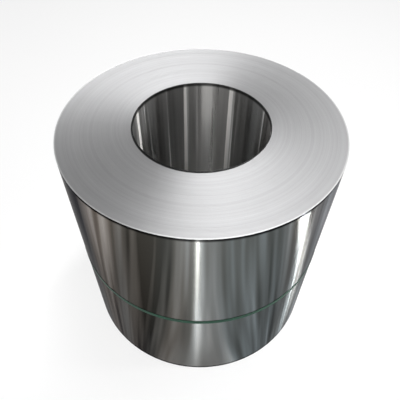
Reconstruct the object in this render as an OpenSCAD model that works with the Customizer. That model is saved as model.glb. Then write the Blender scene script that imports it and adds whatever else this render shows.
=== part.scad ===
// Steel coil: cold-rolled strip wound on a mandrel, standing on its end, with one plastic strap round it.
// The axis is Z, and the origin is the middle of the end that it stands on. Millimetres.

/* [Strip] */
// Width of the strip, from edge to edge
strip_width = 1000; // [700:1:1600]
// Thickness of the strip
strip_thickness = 2; // [1:0.1:4]
// Bevel that slitting and handling leave along the strip's edges
edge_bevel = 0.3; // [0.1:0.05:0.45]

/* [Winding] */
// Diameter of the bore that the mandrel leaves
bore_diameter = 508; // [400:1:762]
// Number of turns in the coil
turns = 138; // [40:1:200]
// How far a turn can stand sideways from the turns that it was wound on
side_wander = 0.4; // [0.2:0.1:4]
// Number of turns over which the winding wanders out and back
wander_turns = 37; // [5:1:60]

/* [Strip ends] */
// Direction of the strip's outer end, anticlockwise from +X
tail_angle = 40; // [0:1:360]
// Arc past the outer end, over which the turn below climbs to the full radius
tail_arc = 120; // [60:1:150]
// Direction of the strip's inner end, anticlockwise from +X
lead_angle = 270; // [0:1:360]
// Arc before the inner end, over which the first turn climbs over it
lead_arc = 60; // [30:1:80]

/* [Strap] */
// Width of the strap
strap_width = 19; // [9:0.5:32]
// Thickness of the strap
strap_thickness = 1; // [0.5:0.05:1.5]
// Bevel along the strap's edges
strap_bevel = 0.2; // [0.05:0.05:0.2]
// Height of the strap's middle above the floor
strap_height = 470; // [40:1:640]
// Play between the coil and the strap
strap_play = 0.3; // [0.1:0.05:0.5]
// Length of the weld where the strap's ends lap
weld_length = 60; // [25:1:120]
// Direction of the weld, anticlockwise from +X
weld_angle = 75; // [0:1:360]

/* [Hidden] */
$fn = 128;

bore_radius = bore_diameter / 2;
coil_radius = bore_radius + turns * strip_thickness;
coil_height = strip_width + side_wander;
strap_inner_radius = coil_radius + strap_play;

// Share of the sideways wander that is shaken up anew at each turn, and the angle that shakes it
wander_shake = 0.4;
shake_angle = 137.5;
// How much quicker a second drift is than the first, so that the two don't come round together
second_drift = 1.618;

// The winding's slow drift to one side and back
function drift(turn) = (sin(360 * turn / wander_turns) + sin(360 * second_drift * turn / wander_turns)) / 2;

// Height above the floor of the lower edge of a turn: the drift with some shake, where the turns
// that would stand lowest all rest on the floor
function edge_height(turn) = side_wander * max(0,
    (1 - wander_shake) * drift(turn) + wander_shake * sin(shake_angle * turn));

// Inner radius of a turn
function turn_radius(turn) = bore_radius + turn * strip_thickness;

// Offset of a second centre from which an arc, struck over the given angle, drifts by one strip thickness
function climb_offset(arc) = strip_thickness / (1 - cos(arc));

// Lower edges of the turns from the bore outwards, with a furrow between each two
lower_edges = [for (turn = [0 : turns - 1]) each [
    [turn_radius(turn), edge_bevel + max(edge_height(turn), edge_height(max(turn - 1, 0)))],
    [turn_radius(turn) + edge_bevel, edge_height(turn)],
    [turn_radius(turn + 1) - edge_bevel, edge_height(turn)],
]];

// Upper edges of the turns from the outside inwards: each turn is one strip width tall
upper_edges = [for (turn = [turns - 1 : -1 : 0]) each [
    [turn_radius(turn + 1) - edge_bevel, edge_height(turn) + strip_width],
    [turn_radius(turn) + edge_bevel, edge_height(turn) + strip_width],
    [turn_radius(turn), strip_width - edge_bevel + min(edge_height(turn), edge_height(max(turn - 1, 0)))],
]];

// Corners of the outer wall, below the bevels of the last turn
outer_wall = [
    [coil_radius, edge_height(turns - 1) + edge_bevel],
    [coil_radius, edge_height(turns - 1) + strip_width - edge_bevel],
];

// The half of the space round the axis that lies anticlockwise of a direction
module half_space(direction) {
    rotate([0, 0, direction])
        translate([-2 * coil_radius, 0, -coil_height])
            cube([4 * coil_radius, 2 * coil_radius, 3 * coil_height]);
}

// A cylinder whose axis stands off the coil's axis in a direction, longer than the coil
module offset_cylinder(direction, offset, radius) {
    rotate([0, 0, direction])
        translate([offset, 0, -coil_height])
            cylinder(r = radius, h = 3 * coil_height);
}

// The sliver outside the turn below, from the strip's outer end to where that turn becomes the last one
module tail_step() {
    climb = climb_offset(tail_arc);
    difference() {
        half_space(tail_angle);
        offset_cylinder(tail_angle, -climb, coil_radius - strip_thickness + climb);
    }
}

// The sliver inside the first turn, up to the strip's inner end, where that turn climbs over it
module lead_step() {
    climb = climb_offset(lead_arc);
    intersection() {
        half_space(lead_angle + 180);
        offset_cylinder(lead_angle, climb, bore_radius + strip_thickness - climb);
    }
}

// The strip, wound up tight
module coil() {
    color("silver")
        difference() {
            rotate_extrude() polygon(concat(lower_edges, outer_wall, upper_edges));
            tail_step();
            lead_step();
        }
}

// Section of the strap, with its inner face at a radius
module strap_section(inner_radius) {
    translate([inner_radius, strap_height - strap_width / 2])
        polygon([
            [strap_bevel, 0],
            [strap_thickness - strap_bevel, 0],
            [strap_thickness, strap_bevel],
            [strap_thickness, strap_width - strap_bevel],
            [strap_thickness - strap_bevel, strap_width],
            [strap_bevel, strap_width],
            [0, strap_width - strap_bevel],
            [0, strap_bevel],
        ]);
}

// The strap, drawn round the coil, with its outer end welded on top of its inner one
module strap() {
    weld_arc = weld_length / strap_inner_radius * 180 / PI;
    // the melted faces sink into each other by a bevel on each side
    weld_inner_radius = strap_inner_radius + strap_thickness - 2 * strap_bevel;
    color("seagreen") {
        rotate_extrude() strap_section(strap_inner_radius);
        rotate([0, 0, weld_angle - weld_arc / 2])
            rotate_extrude(angle = weld_arc) strap_section(weld_inner_radius);
    }
}

coil();
strap();
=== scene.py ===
import math

import bpy
from mathutils import Matrix, Vector


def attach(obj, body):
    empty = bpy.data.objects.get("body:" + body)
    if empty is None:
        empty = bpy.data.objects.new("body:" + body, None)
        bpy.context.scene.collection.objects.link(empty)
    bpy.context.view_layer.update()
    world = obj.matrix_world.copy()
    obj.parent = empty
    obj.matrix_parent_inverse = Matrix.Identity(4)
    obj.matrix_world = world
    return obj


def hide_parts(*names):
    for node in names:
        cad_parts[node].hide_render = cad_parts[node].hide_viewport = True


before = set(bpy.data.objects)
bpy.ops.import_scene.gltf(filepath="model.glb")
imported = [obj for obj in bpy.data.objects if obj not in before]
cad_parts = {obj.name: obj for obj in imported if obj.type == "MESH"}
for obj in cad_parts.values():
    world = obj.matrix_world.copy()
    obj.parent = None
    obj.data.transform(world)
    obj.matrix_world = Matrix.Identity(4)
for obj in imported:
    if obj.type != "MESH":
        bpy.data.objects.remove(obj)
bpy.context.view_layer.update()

# The coil: one strip of bright cold-rolled steel, slit to width and wound up tight on a mandrel.
# Its ends are the slit edges of the turns, which wander sideways by a fraction of a millimetre.
# The strip's outer end makes a step on the wall at the back, and its inner end one in the bore.
strip_width = 1.0
strip_thickness = 0.002
furrow = 0.0002
turn_count = 138
bore_radius = 0.254
coil_radius = bore_radius + turn_count * strip_thickness
side_wander = 0.0004
wander_turns = 37
second_drift = 1.618
wander_shake = 0.4
shake_angle = math.radians(137.5)
tail_angle, tail_arc = math.radians(40), math.radians(120)
lead_angle, lead_arc = math.radians(270), math.radians(60)
steps_round = 112
merge_distance = 0.00001
smooth_angle = math.radians(20)


def turn_radius(turn):
    return bore_radius + turn * strip_thickness


# Height of a turn's lower edge above the floor: two slow drifts to one side and back, with some shake
def edge_height(turn):
    way = math.tau * turn / wander_turns
    drift = (math.sin(way) + math.sin(second_drift * way)) / 2
    shake = math.sin(shake_angle * turn)
    return side_wander * max(0, (1 - wander_shake) * drift + wander_shake * shake)


# Half of the coil's section, from the bore outwards along the floor and back along the top
section = []
for turn in range(turn_count):
    inner, outer = turn_radius(turn), turn_radius(turn + 1)
    low, neighbour = edge_height(turn), edge_height(max(turn - 1, 0))
    section.append((inner, max(low, neighbour) + furrow))
    section.append((inner + furrow, low))
    section.append((outer - furrow, low))
section.append((coil_radius, edge_height(turn_count - 1) + furrow))
section.append((coil_radius, edge_height(turn_count - 1) + strip_width - furrow))
for turn in reversed(range(turn_count)):
    inner, outer = turn_radius(turn), turn_radius(turn + 1)
    high, neighbour = strip_width + edge_height(turn), strip_width + edge_height(max(turn - 1, 0))
    section.append((outer - furrow, high))
    section.append((inner + furrow, high))
    section.append((inner, min(high, neighbour) - furrow))

# A small plane shrinks to one point, and the section is drawn with it at the strip's outer end
bpy.ops.object.select_all(action="DESELECT")
bpy.ops.mesh.primitive_plane_add(size=furrow)
coil = bpy.context.object
coil.name = "coil_of_strip"
bpy.ops.object.mode_set(mode="EDIT")
bpy.ops.mesh.merge(type="CENTER")
outward = Vector((math.cos(tail_angle), math.sin(tail_angle), 0))
at = Vector((0, 0, 0))
for number, (radius, height) in enumerate(section + section[:1]):
    point = outward * radius + Vector((0, 0, height))
    if number == 0:
        bpy.ops.transform.translate(value=point - at)
    else:
        bpy.ops.mesh.extrude_vertices_move(TRANSFORM_OT_translate={"value": point - at})
    at = point
bpy.ops.mesh.select_all(action="SELECT")
bpy.ops.mesh.remove_doubles(threshold=merge_distance)
bpy.ops.object.mode_set(mode="OBJECT")

# A copy of it starts at the strip's inner end, and the two are spun until each meets the other
bpy.ops.object.duplicate()
rest_of_coil = bpy.context.object
to_lead = (lead_angle - tail_angle) % math.tau
rest_of_coil.data.transform(Matrix.Rotation(to_lead, 4, "Z"))
for piece, arc in ((coil, to_lead), (rest_of_coil, math.tau - to_lead)):
    bpy.ops.object.select_all(action="DESELECT")
    piece.select_set(True)
    bpy.context.view_layer.objects.active = piece
    bpy.ops.object.mode_set(mode="EDIT")
    bpy.ops.mesh.select_all(action="SELECT")
    bpy.ops.mesh.spin(steps=round(arc / math.tau * steps_round), angle=-arc, center=(0, 0, 0),
                      axis=(0, 0, 1), use_auto_merge=False)
    bpy.ops.object.mode_set(mode="OBJECT")

# Past the outer end the last turn thins to nearly nothing, and so does the first one before the inner end.
# A fiftieth of the thickness is left, so that no two faces fall together.
tail_offset = strip_thickness / (1 - math.cos(tail_arc))
lead_offset = strip_thickness / (1 - math.cos(lead_arc))
below_tail = coil_radius - strip_thickness
over_lead = bore_radius + strip_thickness
least_share = 1 / 50
angle_slack = 0.001
for vertex in coil.data.vertices:
    radius = vertex.co.xy.length
    angle = math.atan2(vertex.co.y, vertex.co.x)
    past_tail = (angle - tail_angle + angle_slack) % math.tau - angle_slack
    before_lead = (lead_angle - angle + angle_slack) % math.tau - angle_slack
    new_radius = radius
    if past_tail < tail_arc and radius > below_tail:
        reach = math.sqrt((below_tail + tail_offset) ** 2 - (tail_offset * math.sin(past_tail)) ** 2)
        wall = reach - tail_offset * math.cos(past_tail)
        share = max((wall - below_tail) / strip_thickness, least_share)
        new_radius = below_tail + (radius - below_tail) * share
    if before_lead < lead_arc and radius < over_lead:
        reach = math.sqrt((over_lead - lead_offset) ** 2 - (lead_offset * math.sin(before_lead)) ** 2)
        wall = reach + lead_offset * math.cos(before_lead)
        share = max((over_lead - wall) / strip_thickness, least_share)
        new_radius = over_lead - (over_lead - radius) * share
    vertex.co.xy *= new_radius / radius

# The two are joined, and the holes at the strip's two ends become the faces of its cut ends
bpy.ops.object.select_all(action="DESELECT")
rest_of_coil.select_set(True)
coil.select_set(True)
bpy.context.view_layer.objects.active = coil
bpy.ops.object.join()
bpy.ops.object.mode_set(mode="EDIT")
bpy.ops.mesh.select_all(action="SELECT")
bpy.ops.mesh.remove_doubles(threshold=merge_distance)
bpy.ops.mesh.select_all(action="SELECT")
bpy.ops.mesh.fill_holes(sides=0)
bpy.ops.mesh.select_all(action="SELECT")
bpy.ops.mesh.normals_make_consistent(inside=False)
bpy.ops.object.mode_set(mode="OBJECT")
bpy.ops.object.shade_smooth_by_angle(angle=smooth_angle)


def linear(hex_colour):
    channels = [int(hex_colour[i:i + 2], 16) / 255 for i in (1, 3, 5)]
    return [c / 12.92 if c < 0.04045 else ((c + 0.055) / 1.055) ** 2.4 for c in channels] + [1]


def add_node(tree, kind, inputs, **settings):
    node = tree.nodes.new(kind)
    for name, value in settings.items():
        setattr(node, name, value)
    for socket, value in inputs.items():
        if isinstance(value, bpy.types.NodeSocket):
            tree.links.new(value, node.inputs[socket])
        else:
            node.inputs[socket].default_value = value
    return node


# Bright cold-rolled steel on the wall and in the bore: rolled between polished rolls, so it mirrors what
# stands round it. The roll lines run along the strip and smear that mirror image upwards and downwards.
# Bands across the strip, darker and lighter, are partly the rolls' chatter and partly painted reflection:
# in front they lean outwards to the floor, as its mirror image does. Films of oil make them warmer and
# cooler. Each layer of bands is (width in m, weight, seed), and each painted highlight, a narrow line painted
# bright, is (width in m, lift, seed).
def rolled_steel(name, layers, painted_highlights, lean, stretch, tones, films, roughness, edge_tint):
    material = bpy.data.materials.new(name)
    material.use_nodes = True
    tree = material.node_tree
    tree.nodes.clear()
    place = add_node(tree, "ShaderNodeTexCoord", {}).outputs["Object"]
    axes = add_node(tree, "ShaderNodeSeparateXYZ", {0: place})
    level = add_node(tree, "ShaderNodeCombineXYZ", {"X": axes.outputs["X"], "Y": axes.outputs["Y"]})
    outwards = add_node(tree, "ShaderNodeVectorMath", {0: level.outputs[0]}, operation="NORMALIZE")

    # the bands follow the place, turned back by the lean and drawn out upwards and downwards
    front_only = 3.0
    sideways = add_node(tree, "ShaderNodeSeparateXYZ", {0: outwards.outputs[0]})
    below_top = add_node(tree, "ShaderNodeMath", {0: axes.outputs["Z"], 1: strip_width},
                         operation="SUBTRACT")
    in_front = add_node(tree, "ShaderNodeMath", {0: sideways.outputs["Y"], 1: -1.0}, operation="MULTIPLY",
                        use_clamp=True)
    in_front = add_node(tree, "ShaderNodeMath", {0: in_front.outputs[0], 1: front_only}, operation="POWER")
    turn_back = add_node(tree, "ShaderNodeMath", {0: sideways.outputs["X"], 1: in_front.outputs[0]},
                         operation="MULTIPLY")
    turn_back = add_node(tree, "ShaderNodeMath", {0: turn_back.outputs[0], 1: below_top.outputs[0]},
                         operation="MULTIPLY")
    turn_back = add_node(tree, "ShaderNodeMath", {0: turn_back.outputs[0], 1: lean}, operation="MULTIPLY")
    turned = add_node(tree, "ShaderNodeVectorRotate", {"Vector": place, "Angle": turn_back.outputs[0]},
                      rotation_type="Z_AXIS")
    drawn_out = add_node(tree, "ShaderNodeVectorMath", {0: turned.outputs[0], 1: (1, 1, stretch)},
                         operation="MULTIPLY").outputs[0]

    # how light each band is, and its tone, which is partly painted reflection
    middle_tone = 0.42
    highlight_from, highlight_to = 0.60, 0.67
    bands_and_reflections = middle_tone
    for width, weight, seed in layers:
        layer = add_node(tree, "ShaderNodeTexNoise", {
            "Vector": drawn_out, "W": seed, "Scale": 1 / width, "Detail": 1}, noise_dimensions="4D")
        centred = add_node(tree, "ShaderNodeMath", {0: layer.outputs[0], 1: 0.5}, operation="SUBTRACT")
        bands_and_reflections = add_node(tree, "ShaderNodeMath", {0: centred.outputs[0], 1: weight, 2: bands_and_reflections},
                           operation="MULTIPLY_ADD").outputs[0]
    # painted highlights: a few narrow lines are painted up to the lightest tone
    for width, lift, seed in painted_highlights:
        highlight = add_node(tree, "ShaderNodeTexNoise", {
            "Vector": drawn_out, "W": seed, "Scale": 1 / width, "Detail": 1}, noise_dimensions="4D")
        highlight = add_node(tree, "ShaderNodeMapRange", {
            0: highlight.outputs[0], 1: highlight_from, 2: highlight_to, 3: 0.0, 4: lift})
        bands_and_reflections = add_node(tree, "ShaderNodeMath", {0: highlight.outputs[0], 1: bands_and_reflections},
                           operation="ADD").outputs[0]
    colour = add_node(tree, "ShaderNodeValToRGB", {0: bands_and_reflections})
    ramp = colour.color_ramp.elements
    while len(ramp) < len(tones):
        ramp.new(0.5)
    for number, tone in enumerate(tones):
        ramp[number].position = number / (len(tones) - 1)
        ramp[number].color = linear(tone)

    # the film of oil is cooler or warmer over some 150 mm
    film_width, film_seed = 0.150, 58.0
    film_from, film_to = 0.35, 0.65
    warmth = add_node(tree, "ShaderNodeTexNoise", {
        "Vector": drawn_out, "W": film_seed, "Scale": 1 / film_width, "Detail": 1}, noise_dimensions="4D")
    warmth = add_node(tree, "ShaderNodeMapRange", {0: warmth.outputs[0], 1: film_from, 2: film_to})
    film = add_node(tree, "ShaderNodeMix", {0: warmth.outputs[0], 6: linear(films[0]), 7: linear(films[1])},
                    data_type="RGBA")
    tinted = add_node(tree, "ShaderNodeMix", {0: 1.0, 6: colour.outputs[0], 7: film.outputs[2]},
                      data_type="RGBA", blend_type="MULTIPLY")

    # a dark line, some 12 mm wide, is painted along the strip's edges: painted shade under the rims
    shade_from, shade_to, shade_share = strip_width / 2 - 0.016, strip_width / 2 - 0.008, 0.85
    from_middle = add_node(tree, "ShaderNodeMath", {0: axes.outputs["Z"], 1: strip_width / 2},
                           operation="SUBTRACT")
    from_middle = add_node(tree, "ShaderNodeMath", {0: from_middle.outputs[0]}, operation="ABSOLUTE")
    painted_shade = add_node(tree, "ShaderNodeMapRange", {
        0: from_middle.outputs[0], 1: shade_from, 2: shade_to, 3: 0.0, 4: shade_share})
    tinted = add_node(tree, "ShaderNodeMix", {0: painted_shade.outputs[0], 6: tinted.outputs[2], 7: linear("#181818")},
                      data_type="RGBA")

    # the grain runs round the coil, so the gloss is drawn out across it
    gloss = add_node(tree, "ShaderNodeMapRange", {0: bands_and_reflections, 3: roughness[0], 4: roughness[1]})
    upwards = add_node(tree, "ShaderNodeVectorMath", {0: outwards.outputs[0], 1: (0, 0, 1)}, operation="ADD")
    shader = add_node(tree, "ShaderNodeBsdfPrincipled", {
        "Base Color": tinted.outputs[2], "Metallic": 1.0, "Roughness": gloss.outputs[0], "Anisotropic": 0.98,
        "Specular Tint": linear(edge_tint), "Tangent": upwards.outputs[0]})
    add_node(tree, "ShaderNodeOutputMaterial", {"Surface": shader.outputs[0]})
    return material


wall_steel = rolled_steel(
    "bright_rolled_steel",
    layers=((0.150, 1.6, 4.3), (0.070, 1.2, 18.8), (0.040, 1.1, 16.2), (0.025, 1.0, 51.4)),
    painted_highlights=(), lean=0.74, stretch=0.03,
    tones=("#474745", "#6c6b69", "#8a8b8c", "#bcbdbe"), films=("#edf7f8", "#fff6ec"),
    roughness=(0.22, 0.27), edge_tint="#909094")
bore_steel = rolled_steel(
    "bright_rolled_steel_inside",
    layers=((0.060, 0.25, 39.4), (0.030, 0.4, 76.6), (0.016, 0.5, 50.2)),
    painted_highlights=((0.030, 0.7, 4.0),), lean=0.0, stretch=0.02,
    tones=("#8c8c8c", "#a4a4a4", "#bebebe", "#ffffff"), films=("#f4f7f7", "#fffdfa"),
    roughness=(0.02, 0.90), edge_tint="#c0c0c4")

# Slit strip edges on the ends: over a hundred cut edges side by side make a satin face with a grain round
# the bore, which catches the light in two opposite fans, and the turns show as faint rings.
edge_steel = bpy.data.materials.new("slit_strip_edges")
edge_steel.use_nodes = True
tree = edge_steel.node_tree
tree.nodes.clear()
place = add_node(tree, "ShaderNodeTexCoord", {})
axes = add_node(tree, "ShaderNodeSeparateXYZ", {0: place.outputs["Object"]})
level = add_node(tree, "ShaderNodeCombineXYZ", {"X": axes.outputs["X"], "Y": axes.outputs["Y"]})
outwards = add_node(tree, "ShaderNodeVectorMath", {0: level.outputs[0]}, operation="NORMALIZE")
across = add_node(tree, "ShaderNodeVectorMath", {0: outwards.outputs[0], 1: (0, 0, 1)}, operation="ADD")
# each turn is a little lighter or darker than the next, and so is each band of some 12 mm
band_width = 0.012
darkest, lightest = 0.6, 1.4
from_axis = add_node(tree, "ShaderNodeVectorMath", {0: level.outputs[0]}, operation="LENGTH")
turn_tone = add_node(tree, "ShaderNodeTexNoise", {
    "W": from_axis.outputs["Value"], "Scale": 1 / strip_thickness, "Detail": 0}, noise_dimensions="1D")
band_tone = add_node(tree, "ShaderNodeTexNoise", {
    "W": from_axis.outputs["Value"], "Scale": 1 / band_width, "Detail": 1}, noise_dimensions="1D")
tone = add_node(tree, "ShaderNodeMath", {0: turn_tone.outputs[0], 1: band_tone.outputs[0]}, operation="ADD")
tone = add_node(tree, "ShaderNodeMapRange", {0: tone.outputs[0], 1: darkest, 2: lightest})
steel = add_node(tree, "ShaderNodeMix", {0: tone.outputs[0], 6: linear("#acacad"), 7: linear("#b4b4b5")},
                 data_type="RGBA")
# the outermost and innermost turns are painted bright: a painted highlight along both rims
rim_highlight_from, rim_highlight_to, rim_highlight_share = 0.006, 0.002, 0.5
from_middle = add_node(tree, "ShaderNodeMath", {
    0: from_axis.outputs["Value"], 1: (bore_radius + coil_radius) / 2}, operation="SUBTRACT")
from_middle = add_node(tree, "ShaderNodeMath", {0: from_middle.outputs[0]}, operation="ABSOLUTE")
half_way = (coil_radius - bore_radius) / 2
rim_highlight = add_node(tree, "ShaderNodeMapRange", {
    0: from_middle.outputs[0], 1: half_way - rim_highlight_from, 2: half_way - rim_highlight_to, 3: 0.0, 4: rim_highlight_share})
steel = add_node(tree, "ShaderNodeMix", {0: rim_highlight.outputs[0], 6: steel.outputs[2], 7: linear("#f0f0f0")},
                 data_type="RGBA")
# a dark ring is painted over the innermost turns, widest at the front and a little to the left:
# painted shade at the bore's near lip
shade_widest_towards, shade_least_width = (-0.004, -0.010, 0), 0.004
shade_blur, shade_share = 0.001, 0.95
shade_width = add_node(tree, "ShaderNodeVectorMath", {0: outwards.outputs[0], 1: shade_widest_towards}, operation="DOT_PRODUCT")
shade_width = add_node(tree, "ShaderNodeMath", {0: shade_width.outputs["Value"], 1: shade_least_width}, operation="MAXIMUM")
past_shade = add_node(tree, "ShaderNodeMath", {0: from_axis.outputs["Value"], 1: shade_width.outputs[0]},
                    operation="SUBTRACT")
painted_shade = add_node(tree, "ShaderNodeMapRange", {
    0: past_shade.outputs[0], 1: bore_radius - shade_blur, 2: bore_radius + shade_blur, 3: shade_share, 4: 0.0})
steel = add_node(tree, "ShaderNodeMix", {0: painted_shade.outputs[0], 6: steel.outputs[2], 7: linear("#101010")},
                 data_type="RGBA")
shader = add_node(tree, "ShaderNodeBsdfPrincipled", {
    "Base Color": steel.outputs[2], "Metallic": 1.0, "Roughness": 0.62, "Anisotropic": 0.78,
    "Tangent": across.outputs[0]})
add_node(tree, "ShaderNodeOutputMaterial", {"Surface": shader.outputs[0]})

wall_slot, edge_slot, bore_slot = 0, 1, 2
for material in (wall_steel, edge_steel, bore_steel):
    coil.data.materials.append(material)
for polygon in coil.data.polygons:
    corners = [coil.data.vertices[i].co for i in polygon.vertices]
    tall = max(c.z for c in corners) - min(c.z for c in corners) > strip_width / 2
    inside = min(c.xy.length for c in corners) < (bore_radius + coil_radius) / 2
    if tall:
        polygon.material_index = bore_slot if inside else wall_slot
    else:
        polygon.material_index = edge_slot
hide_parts("coil")
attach(coil, "root")

# The strap: a green band of plastic, embossed as it is rolled, drawn tight round the coil.
# Its outer end is welded on top of its inner one at the back.
strap_width = 0.019
strap_thickness = 0.001
strap_bevel = 0.0002
strap_height = 0.470
strap_play = 0.0003
strap_inner_radius = coil_radius + strap_play
weld_length = 0.060
weld_angle = math.radians(75)
weld_arc = weld_length / strap_inner_radius
weld_inner_radius = strap_inner_radius + strap_thickness - 2 * strap_bevel
ring_steps, weld_steps = 192, 6
strap_pieces = []
for inner, start, arc, steps in (
        (strap_inner_radius, weld_angle, math.tau, ring_steps),
        (weld_inner_radius, weld_angle - weld_arc / 2, weld_arc, weld_steps)):
    bpy.ops.object.select_all(action="DESELECT")
    bpy.ops.mesh.primitive_plane_add(size=1, rotation=(math.pi / 2, 0, 0))
    piece = bpy.context.object
    bpy.ops.object.transform_apply(rotation=True)
    bpy.ops.object.mode_set(mode="EDIT")
    bpy.ops.transform.resize(value=(strap_thickness, 1, strap_width))
    bpy.ops.mesh.bevel(offset=strap_bevel, affect="VERTICES", segments=1)
    bpy.ops.transform.translate(value=(inner + strap_thickness / 2, 0, strap_height))
    # only the outline is spun, so that no section is left inside
    bpy.ops.mesh.select_all(action="SELECT")
    bpy.ops.mesh.delete(type="ONLY_FACE")
    bpy.ops.mesh.select_all(action="SELECT")
    bpy.ops.mesh.spin(steps=steps, angle=-arc, center=(0, 0, 0), axis=(0, 0, 1), use_auto_merge=True)
    bpy.ops.mesh.select_all(action="SELECT")
    bpy.ops.mesh.remove_doubles(threshold=merge_distance)
    bpy.ops.mesh.fill_holes(sides=0)
    bpy.ops.mesh.select_all(action="SELECT")
    bpy.ops.mesh.normals_make_consistent(inside=False)
    bpy.ops.object.mode_set(mode="OBJECT")
    piece.data.transform(Matrix.Rotation(start, 4, "Z"))
    strap_pieces.append(piece)
bpy.ops.object.select_all(action="DESELECT")
for piece in strap_pieces:
    piece.select_set(True)
strap = strap_pieces[0]
strap.name = "plastic_strap"
bpy.context.view_layer.objects.active = strap
bpy.ops.object.join()
bpy.ops.object.shade_smooth_by_angle(angle=smooth_angle)

# Polyester strapping: green plastic, drawn out and then embossed between rolls with a pattern of little
# diamonds, which breaks its gloss up. Their 3 mm pitch is the real one, and it shows only from near by.
diamond_pitch, diamond_depth = 0.003, 0.0001
diamonds_round = round(math.tau * strap_inner_radius / diamond_pitch)
strap_plastic = bpy.data.materials.new("embossed_polyester")
strap_plastic.use_nodes = True
tree = strap_plastic.node_tree
tree.nodes.clear()
place = add_node(tree, "ShaderNodeTexCoord", {}).outputs["Object"]
axes = add_node(tree, "ShaderNodeSeparateXYZ", {0: place})
direction = add_node(tree, "ShaderNodeMath", {0: axes.outputs["Y"], 1: axes.outputs["X"]},
                     operation="ARCTAN2")
along = add_node(tree, "ShaderNodeMath", {0: direction.outputs[0], 1: diamonds_round}, operation="MULTIPLY")
upwards = add_node(tree, "ShaderNodeMath", {0: axes.outputs["Z"], 1: math.tau / diamond_pitch},
                   operation="MULTIPLY")
rising = add_node(tree, "ShaderNodeMath", {0: along.outputs[0], 1: upwards.outputs[0]}, operation="ADD")
falling = add_node(tree, "ShaderNodeMath", {0: along.outputs[0], 1: upwards.outputs[0]}, operation="SUBTRACT")
rising = add_node(tree, "ShaderNodeMath", {0: rising.outputs[0]}, operation="SINE")
falling = add_node(tree, "ShaderNodeMath", {0: falling.outputs[0]}, operation="SINE")
diamonds = add_node(tree, "ShaderNodeMath", {0: rising.outputs[0], 1: falling.outputs[0]},
                    operation="MAXIMUM")
relief = add_node(tree, "ShaderNodeBump", {
    "Height": diamonds.outputs[0], "Distance": diamond_depth, "Strength": 0.7})
# the dye is uneven over some 60 mm, and the tops of the diamonds are scuffed paler
dye_patch = 0.060
scuffed_from, scuff_share = 0.8, 0.12
dye = add_node(tree, "ShaderNodeTexNoise", {"Vector": place, "Scale": 1 / dye_patch, "Detail": 2})
green = add_node(tree, "ShaderNodeMix", {0: dye.outputs[0], 6: linear("#042418"), 7: linear("#083121")},
                 data_type="RGBA")
scuffs = add_node(tree, "ShaderNodeMapRange", {
    0: diamonds.outputs[0], 1: scuffed_from, 2: 1.0, 3: 0.0, 4: scuff_share})
green = add_node(tree, "ShaderNodeMix", {0: scuffs.outputs[0], 6: green.outputs[2], 7: linear("#3f8a70")},
                 data_type="RGBA")
shader = add_node(tree, "ShaderNodeBsdfPrincipled", {
    "Base Color": green.outputs[2], "Roughness": 0.42, "IOR": 1.57, "Specular IOR Level": 0.06,
    "Normal": relief.outputs[0]})
add_node(tree, "ShaderNodeOutputMaterial", {"Surface": shader.outputs[0]})
strap.data.materials.append(strap_plastic)
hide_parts("strap")
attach(strap, "root")

# The floor: a wide sheet of plain pale board that the coil stands on, not part of the object.
# It is matt, and lies flat under everything.
floor_size = 40
bpy.ops.object.select_all(action="DESELECT")
bpy.ops.mesh.primitive_plane_add(size=floor_size)
floor = bpy.context.object
floor.name = "floor"
board = bpy.data.materials.new("pale_board")
board.use_nodes = True
tree = board.node_tree
tree.nodes.clear()
matt = add_node(tree, "ShaderNodeBsdfPrincipled", {"Base Color": linear("#f2f2f2"), "Roughness": 0.9})
# seen by the camera and in the steel it is nearly white and keeps the shadow, except in the dark of the bore
white_in_steel, white_to_camera = 0.9, 0.7
bore_floor_radius = coil_radius - 0.1
rays = add_node(tree, "ShaderNodeLightPath", {})
seen = add_node(tree, "ShaderNodeMath", {
    0: rays.outputs["Is Glossy Ray"], 1: rays.outputs["Is Transmission Ray"]}, operation="MAXIMUM")
seen = add_node(tree, "ShaderNodeMath", {0: seen.outputs[0], 1: white_in_steel}, operation="MULTIPLY")
seen_straight = add_node(tree, "ShaderNodeMath", {0: rays.outputs["Is Camera Ray"], 1: white_to_camera},
                         operation="MULTIPLY")
seen = add_node(tree, "ShaderNodeMath", {0: seen.outputs[0], 1: seen_straight.outputs[0]},
                operation="MAXIMUM")
place = add_node(tree, "ShaderNodeTexCoord", {})
from_axis = add_node(tree, "ShaderNodeVectorMath", {0: place.outputs["Object"]}, operation="LENGTH")
outside = add_node(tree, "ShaderNodeMath", {0: from_axis.outputs["Value"], 1: bore_floor_radius},
                   operation="GREATER_THAN")
share = add_node(tree, "ShaderNodeMath", {0: seen.outputs[0], 1: outside.outputs[0]}, operation="MULTIPLY")
white = add_node(tree, "ShaderNodeEmission", {"Color": linear("#ffffff"), "Strength": 1.0})
mixed = add_node(tree, "ShaderNodeMixShader", {0: share.outputs[0], 1: matt.outputs[0], 2: white.outputs[0]})
add_node(tree, "ShaderNodeOutputMaterial", {"Surface": mixed.outputs[0]})
floor.data.materials.append(board)

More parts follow.
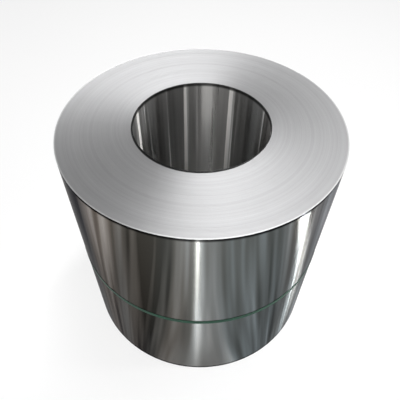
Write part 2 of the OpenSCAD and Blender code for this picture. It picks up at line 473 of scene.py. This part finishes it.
# The light: a narrow softbox high up behind the coil and to the right, which draws the fans on its top.
# A softbox in front fills the shadow, and a pale room, brighter towards the horizon, gives the rest.
at_horizon, overhead, overhead_from = 1.0, 0.38, 0.4
world = bpy.data.worlds.new("pale_room")
bpy.context.scene.world = world
world.use_nodes = True
tree = world.node_tree
tree.nodes.clear()
gaze = add_node(tree, "ShaderNodeTexCoord", {})
gaze_axes = add_node(tree, "ShaderNodeSeparateXYZ", {0: gaze.outputs["Generated"]})
brightness = add_node(tree, "ShaderNodeMapRange", {
    0: gaze_axes.outputs["Z"], 1: 0.0, 2: overhead_from, 3: at_horizon, 4: overhead})
room = add_node(tree, "ShaderNodeBackground", {
    "Color": linear("#ffffff"), "Strength": brightness.outputs[0]})
add_node(tree, "ShaderNodeOutputWorld", {"Surface": room.outputs[0]})


def hang_light(name, width, height, watts, place, aim):
    light = bpy.data.lights.new(name, "AREA")
    light.shape = "RECTANGLE"
    light.size, light.size_y = width, height
    light.energy = watts
    stand = bpy.data.objects.new(name, light)
    bpy.context.collection.objects.link(stand)
    stand.location = place
    stand.rotation_euler = (Vector(aim) - Vector(place)).to_track_quat("-Z", "Y").to_euler()
    return stand


hang_light("softbox", width=0.6, height=3.1, watts=160, place=(0.76, 1.28, 4.5), aim=(0, 0, 0.9))
hang_light("front_softbox", width=2.0, height=2.0, watts=60, place=(-0.8, -3.2, 2.8), aim=(0, 0, 0.3))

# Three narrow strips of light stand round it, and show in the wall as upright bright lines. Two wide, low
# panels at its sides lighten the wall a little. Each is (x, y, foot over the floor, width, height, radiance).
for number, (x, y, foot, width, height, radiance) in enumerate((
        (-0.03, -1.20, 0.01, 0.03, 0.94, 40),
        (0.96, -0.51, 0.32, 0.09, 0.30, 75),
        (0.50, 1.60, 0.01, 0.08, 0.94, 14),
        (-1.02, -0.32, 0.01, 0.60, 0.50, 1.6),
        (0.95, 0.02, 0.01, 0.40, 0.50, 2.5))):
    middle = foot + height / 2
    stand = hang_light("strip_%d" % number, width, height, watts=radiance * math.pi * width * height,
                       place=(x, y, middle), aim=(0, 0, middle))
    stand.visible_camera = False

# The camera: nearly two metres up, a little over one metre in front of the coil's axis, and pointed down.
# It is turned and tipped by less than a degree.
camera_data = bpy.data.cameras.new("camera")
camera_data.sensor_width = 36
camera_data.lens = 37.805
camera = bpy.data.objects.new("camera", camera_data)
bpy.context.collection.objects.link(camera)
camera.location = (0, -1.234, 1.969)
turned, pointed_down, tipped = math.radians(0.144), math.radians(48.604), math.radians(0.66)
aim = Matrix.Rotation(turned, 3, "Z") @ Matrix.Rotation(math.pi / 2 - pointed_down, 3, "X")
camera.rotation_euler = (aim @ Matrix.Rotation(tipped, 3, "Z")).to_euler()
bpy.context.scene.camera = camera

bpy.context.scene.view_settings.view_transform = "Standard"
